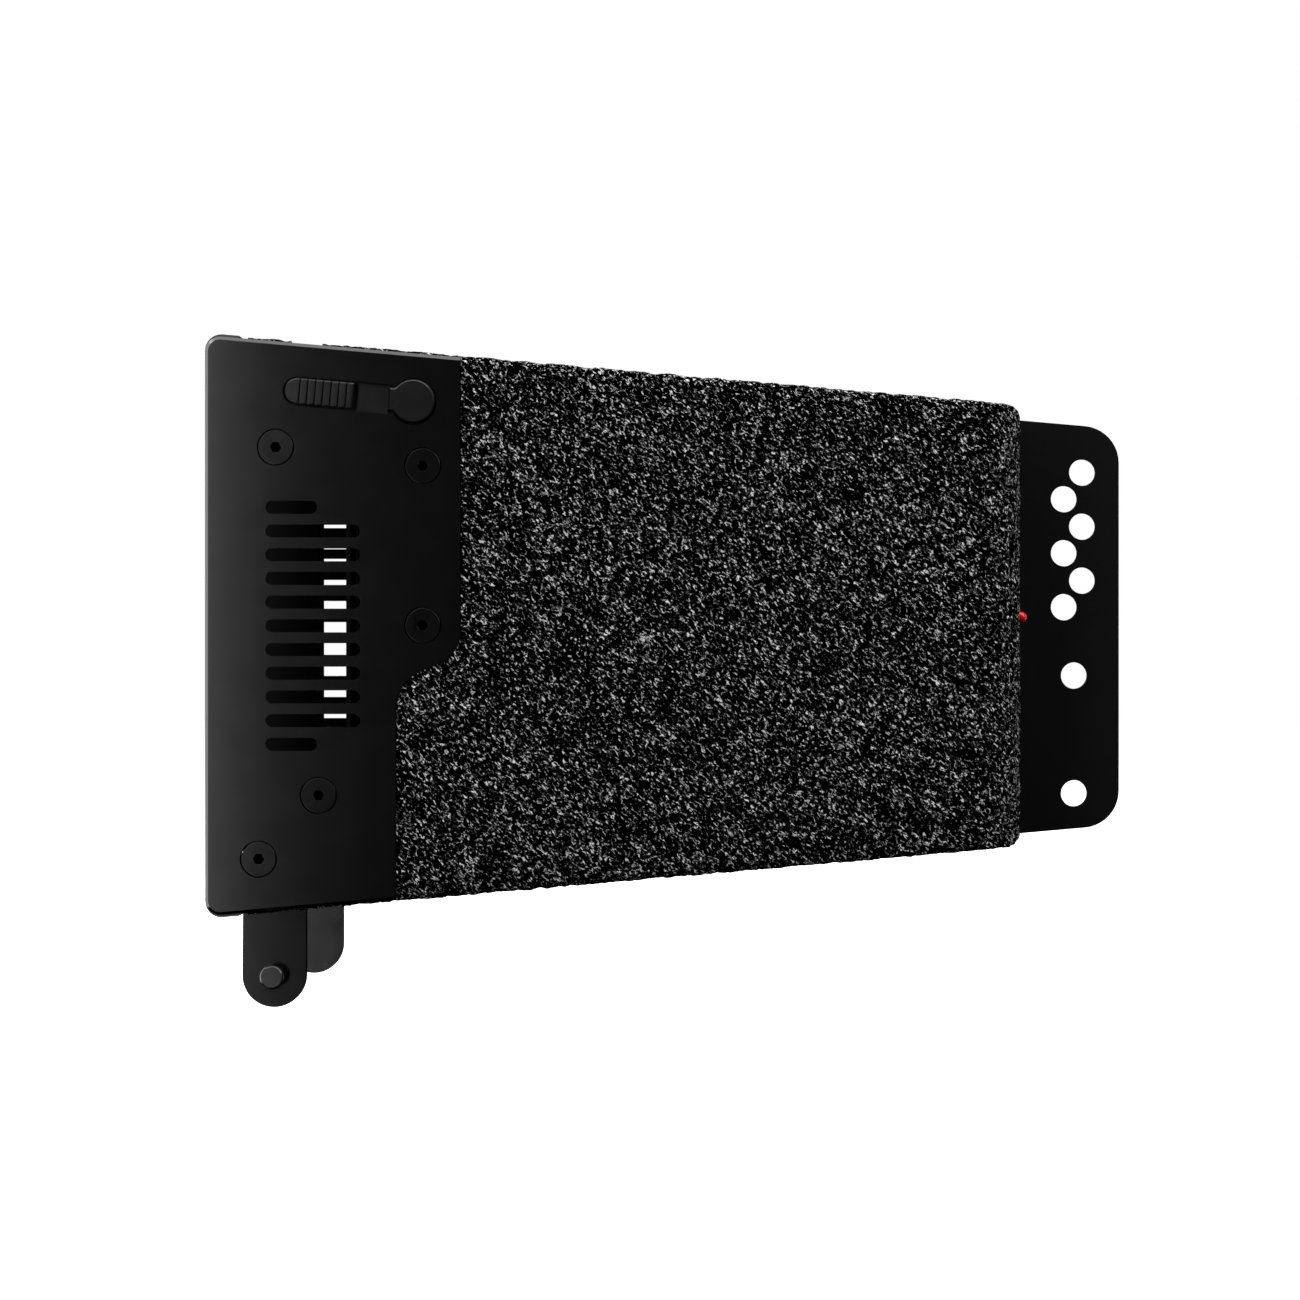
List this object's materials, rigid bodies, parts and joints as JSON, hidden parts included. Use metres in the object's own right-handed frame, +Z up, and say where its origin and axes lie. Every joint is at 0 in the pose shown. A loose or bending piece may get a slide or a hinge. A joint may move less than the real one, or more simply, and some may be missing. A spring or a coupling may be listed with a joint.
{
  "type": "cpu holder",
  "caption": "Slim tapered case that holds a small computer beside a desk, with vented covers, coarse grip skin, slide latch, drilled mounting plate and studded hanger arms.",
  "frame": {"origin": "on the front face of the mounting plate, close to its free edge and level with the space between its two lower holes", "axes": "+X along the length, from the open end towards the mounting plate; +Y from the front cover to the rear cover; +Z up, hanger arms below"},
  "size_m": [0.2824, 0.0908, 0.2031],
  "materials": {
    "spine_plate": "flat black powder coat",
    "grommet": "moulded, slightly soft",
    "end_bezel": "satin black",
    "cover_plate": "satin black powder coat, fine grain",
    "grip_skin": "coarse crumbed grip texture",
    "case_shell": "moulded matt black",
    "hanger_arm": "satin black powder coat",
    "screws": "black oxide",
    "inner_steel": "zinc plated",
    "spring_steel": "spring steel",
    "latch": "satin moulded black",
    "red_button": "glossy signal red",
    "bay_pad": "fine foam"
  },
  "bodies": {
    "root": {"spine_plate": "spine_plate", "window_grommet": "grommet", "end_bezel": "end_bezel", "front_plate": "cover_plate", "rear_plate": "cover_plate", "front_skin": "grip_skin", "rear_skin": "grip_skin", "front_shell": "case_shell", "rear_shell": "case_shell", "hanger_arm_front": "hanger_arm", "hanger_arm_rear": "hanger_arm", "hanger_stud_front": "screws", "hanger_stud_rear": "screws", "front_screw_1": "screws", "rear_screw_1": "screws", "front_nut_1": "inner_steel", "rear_nut_1": "inner_steel", "front_screw_2": "screws", "rear_screw_2": "screws", "front_nut_2": "inner_steel", "rear_nut_2": "inner_steel", "front_screw_3": "screws", "rear_screw_3": "screws", "front_nut_3": "inner_steel", "rear_nut_3": "inner_steel", "front_screw_4": "screws", "rear_screw_4": "screws", "front_nut_4": "inner_steel", "rear_nut_4": "inner_steel", "front_screw_5": "screws", "rear_screw_5": "screws", "front_nut_5": "inner_steel", "rear_nut_5": "inner_steel", "case_screw_1": "inner_steel", "bezel_screw_1": "screws", "case_screw_2": "inner_steel", "bezel_screw_2": "screws", "case_screw_3": "inner_steel", "bezel_screw_3": "screws", "case_screw_4": "inner_steel", "bezel_screw_4": "screws", "latch_track": "latch", "detent_spring": "spring_steel", "latch_cover": "case_shell", "latch_cover_screw_1": "inner_steel", "latch_cover_screw_2": "inner_steel", "lock_button_spring": "spring_steel", "red_button_housing": "case_shell", "red_button_cap": "case_shell", "red_button_spring": "spring_steel", "front_bay_pad": "bay_pad", "rear_bay_pad": "bay_pad"},
    "latch": {"latch_slider": "latch", "latch_bolt": "inner_steel", "latch_screw": "inner_steel"},
    "lock_button": {"lock_button": "latch"},
    "red_button": {"red_button": "red_button"}
  },
  "joints": [
    {"name": "latch_slide", "type": "slide", "parent": "root", "child": "latch", "axis": [0.9962, 0, -0.0872], "range_m": [0, 0.0096]},
    {"name": "lock_button_press", "type": "slide", "parent": "root", "child": "lock_button", "axis": [0, 1, 0], "range_m": [0, 0.0012], "stiffness_N_per_m": 800, "springref_m": -0.0006, "deforming": ["lock_button_spring"]},
    {"name": "red_button_press", "type": "slide", "parent": "root", "child": "red_button", "axis": [-1, 0, 0], "range_m": [0, 0.0015], "stiffness_N_per_m": 800, "springref_m": -0.0006, "deforming": ["red_button_spring"]}
  ]
}
